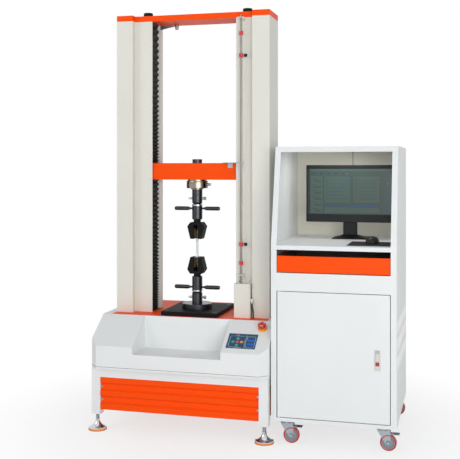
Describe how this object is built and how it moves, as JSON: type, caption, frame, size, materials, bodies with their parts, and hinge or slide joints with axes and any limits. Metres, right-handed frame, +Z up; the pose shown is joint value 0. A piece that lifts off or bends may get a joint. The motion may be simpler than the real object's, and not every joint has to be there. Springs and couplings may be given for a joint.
{
  "type": "universal testing machine",
  "caption": "Floor-standing tensile tester: ball-screw crosshead between white columns, load cell and wedge grips, beside its matching control cabinet on casters.",
  "frame": {"origin": "on the floor under the middle of the footprint of machine and cabinet", "axes": "+X to the right seen from the front, +Y to the back, +Z up"},
  "size_m": [1.497, 0.72, 2.079],
  "materials": {
    "orange_paint": "satin powder coat",
    "white_paint": "fine textured powder coat",
    "black_steel": "black oxide",
    "bright_steel": "ground and polished",
    "zinc_steel": "zinc plated",
    "chrome": "polished chrome plate",
    "aluminium": "anodised",
    "motor_black": "black stoving enamel",
    "bronze_jaw": "machined bronze-coloured jaw",
    "bellows_rubber": "coated pleated fabric",
    "belt_rubber": "moulded rubber",
    "pad_rubber": "moulded orange rubber",
    "cable_rubber": "smooth sheath",
    "black_plastic": "moulded fine texture",
    "red_plastic": "moulded gloss",
    "red_paint": "red anodised or painted",
    "yellow_plastic": "moulded gloss",
    "blue_overlay": "printed polyester overlay",
    "wheel_tread": "red polyurethane tread"
  },
  "bodies": {
    "frame": {"base_frame": "white_paint", "front_panel": "orange_paint", "base_panels": "orange_paint", "panel_screws": "zinc_steel", "levelling_feet": "chrome", "foot_pads": "pad_rubber", "base_cover": "white_paint", "table_plate": "orange_paint", "platen": "black_steel", "left_column_cover": "white_paint", "right_column_cover": "white_paint", "guide_posts": "bright_steel", "screw_bearings": "bright_steel", "top_beam": "orange_paint", "beam_caps": "black_plastic", "servo_motor": "motor_black", "drive_belt": "belt_rubber", "lower_grip_body": "black_steel", "lower_adapter": "black_steel", "test_specimen": "aluminium", "rod_brackets": "zinc_steel", "limit_switch_box": "white_paint", "switch_cable": "cable_rubber", "upper_bellows": "bellows_rubber", "lower_bellows": "bellows_rubber", "control_panel": "blue_overlay", "estop_base": "yellow_plastic"},
    "left_screw": {"left_ball_screw": "bright_steel"},
    "right_screw": {"right_ball_screw": "bright_steel"},
    "motor_rotor": {"motor_pulley": "aluminium"},
    "crosshead": {"crosshead": "orange_paint", "crosshead_fittings": "black_steel", "trip_finger": "zinc_steel", "load_cell": "bright_steel", "upper_adapter": "black_steel", "upper_grip_body": "black_steel"},
    "upper_sleeve": {"upper_sleeve": "black_steel"},
    "upper_jaw_left": {"upper_jaw_left": "bronze_jaw"},
    "upper_jaw_right": {"upper_jaw_right": "bronze_jaw"},
    "upper_pin": {"upper_pin": "bright_steel"},
    "lower_sleeve": {"lower_sleeve": "black_steel"},
    "lower_jaw_left": {"lower_jaw_left": "bronze_jaw"},
    "lower_jaw_right": {"lower_jaw_right": "bronze_jaw"},
    "lower_pin": {"lower_pin": "bright_steel"},
    "limit_rod": {"limit_rod": "bright_steel", "end_collars": "red_paint"},
    "upper_collar": {"upper_collar": "red_paint"},
    "lower_collar": {"lower_collar": "red_paint"},
    "stop_button": {"estop_button": "red_plastic"},
    "cabinet": {"cabinet_shell": "white_paint", "monitor": "black_plastic", "caster_mounts": "zinc_steel"},
    "cabinet_door": {"cabinet_door": "white_paint"},
    "cabinet_drawer": {"cabinet_drawer": "orange_paint"},
    "front_left_fork": {"front_left_fork": "zinc_steel"},
    "front_right_fork": {"front_right_fork": "zinc_steel"},
    "front_left_wheel": {"front_left_wheel": "wheel_tread"},
    "front_right_wheel": {"front_right_wheel": "wheel_tread"},
    "rear_left_wheel": {"rear_left_wheel": "wheel_tread"},
    "rear_right_wheel": {"rear_right_wheel": "wheel_tread"}
  },
  "joints": [
    {"name": "left_screw_spin", "type": "hinge", "parent": "frame", "child": "left_screw", "pos_m": [-0.5505, -0.01, 1], "axis": [0, 0, 1], "range_deg": [-16200, 2520]},
    {"name": "right_screw_spin", "type": "hinge", "parent": "frame", "child": "right_screw", "pos_m": [-0.0205, -0.01, 1], "axis": [0, 0, 1], "range_deg": [-16201, 2521]},
    {"name": "motor_spin", "type": "hinge", "parent": "frame", "child": "motor_rotor", "pos_m": [-0.2855, 0.16, 0.45], "axis": [0, 0, 1], "range_deg": [-37801, 5881]},
    {"name": "crosshead_slide", "type": "slide", "parent": "frame", "child": "crosshead", "axis": [0, 0, 1], "range_m": [-0.0705, 0.4505], "deforming": ["upper_bellows", "lower_bellows", "test_specimen"]},
    {"name": "upper_sleeve_turn", "type": "hinge", "parent": "crosshead", "child": "upper_sleeve", "pos_m": [-0.2855, -0.01, 1.048], "axis": [0, 0, 1], "range_deg": [0, 720]},
    {"name": "upper_jaw_left_slide", "type": "slide", "parent": "crosshead", "child": "upper_jaw_left", "axis": [-0.2079, 0, 0.9781], "range_m": [-0.0002, 0.0082]},
    {"name": "upper_jaw_right_slide", "type": "slide", "parent": "crosshead", "child": "upper_jaw_right", "axis": [0.2079, 0, 0.9781], "range_m": [-0.0002, 0.0082]},
    {"name": "upper_pin_pull", "type": "slide", "parent": "crosshead", "child": "upper_pin", "axis": [1, 0, 0], "range_m": [0, 0.1]},
    {"name": "lower_sleeve_turn", "type": "hinge", "parent": "frame", "child": "lower_sleeve", "pos_m": [-0.2855, -0.01, 0.695], "axis": [0, 0, 1], "range_deg": [0, 720]},
    {"name": "lower_jaw_left_slide", "type": "slide", "parent": "frame", "child": "lower_jaw_left", "axis": [-0.2079, 0, -0.9781], "range_m": [-0.0002, 0.0082]},
    {"name": "lower_jaw_right_slide", "type": "slide", "parent": "frame", "child": "lower_jaw_right", "axis": [0.2079, 0, -0.9781], "range_m": [-0.0002, 0.0082]},
    {"name": "lower_pin_pull", "type": "slide", "parent": "frame", "child": "lower_pin", "axis": [1, 0, 0], "range_m": [0, 0.1]},
    {"name": "limit_rod_trip", "type": "slide", "parent": "frame", "child": "limit_rod", "axis": [0, 0, 1], "range_m": [-0.008, 0.008], "stiffness_N_per_m": 8000},
    {"name": "upper_collar_slide", "type": "slide", "parent": "limit_rod", "child": "upper_collar", "axis": [0, 0, 1], "range_m": [-0.04, 0.08]},
    {"name": "lower_collar_slide", "type": "slide", "parent": "limit_rod", "child": "lower_collar", "axis": [0, 0, 1], "range_m": [-0.06, 0.24]},
    {"name": "stop_press", "type": "slide", "parent": "frame", "child": "stop_button", "axis": [0, 0.5673, -0.8235], "range_m": [0, 0.006]},
    {"name": "cabinet_roll", "type": "slide", "parent": "frame", "child": "cabinet", "axis": [1, 0, 0], "range_m": [0, 0.6]},
    {"name": "door_swing", "type": "hinge", "parent": "cabinet", "child": "cabinet_door", "pos_m": [0.1975, -0.294, 0.4], "axis": [0, 0, -1], "range_deg": [0, 110]},
    {"name": "drawer_slide", "type": "slide", "parent": "cabinet", "child": "cabinet_drawer", "axis": [0, -1, 0], "range_m": [0, 0.33]},
    {"name": "front_left_swivel", "type": "hinge", "parent": "cabinet", "child": "front_left_fork", "pos_m": [0.2275, -0.267, 0.09], "axis": [0, 0, 1], "continuous": true},
    {"name": "front_right_swivel", "type": "hinge", "parent": "cabinet", "child": "front_right_fork", "pos_m": [0.6725, -0.267, 0.09], "axis": [0, 0, 1], "continuous": true},
    {"name": "front_left_wheel_spin", "type": "hinge", "parent": "front_left_fork", "child": "front_left_wheel", "pos_m": [0.2535, -0.267, 0.0375], "axis": [0, 1, 0], "continuous": true},
    {"name": "front_right_wheel_spin", "type": "hinge", "parent": "front_right_fork", "child": "front_right_wheel", "pos_m": [0.6985, -0.267, 0.0375], "axis": [0, 1, 0], "continuous": true},
    {"name": "rear_left_wheel_spin", "type": "hinge", "parent": "cabinet", "child": "rear_left_wheel", "pos_m": [0.2535, 0.327, 0.0375], "axis": [0, 1, 0], "continuous": true},
    {"name": "rear_right_wheel_spin", "type": "hinge", "parent": "cabinet", "child": "rear_right_wheel", "pos_m": [0.6985, 0.327, 0.0375], "axis": [0, 1, 0], "continuous": true}
  ],
  "couplings": [
    {"joint": "right_screw_spin", "follows": "left_screw_spin", "ratio": 1},
    {"joint": "motor_spin", "follows": "left_screw_spin", "ratio": 2.3333},
    {"joint": "crosshead_slide", "follows": "left_screw_spin", "m_per_rad": -0.0015915},
    {"joint": "upper_jaw_left_slide", "follows": "upper_sleeve_turn", "m_per_rad": 0.00063662},
    {"joint": "upper_jaw_right_slide", "follows": "upper_sleeve_turn", "m_per_rad": 0.00063662},
    {"joint": "lower_jaw_left_slide", "follows": "lower_sleeve_turn", "m_per_rad": 0.00063662},
    {"joint": "lower_jaw_right_slide", "follows": "lower_sleeve_turn", "m_per_rad": 0.00063662}
  ]
}
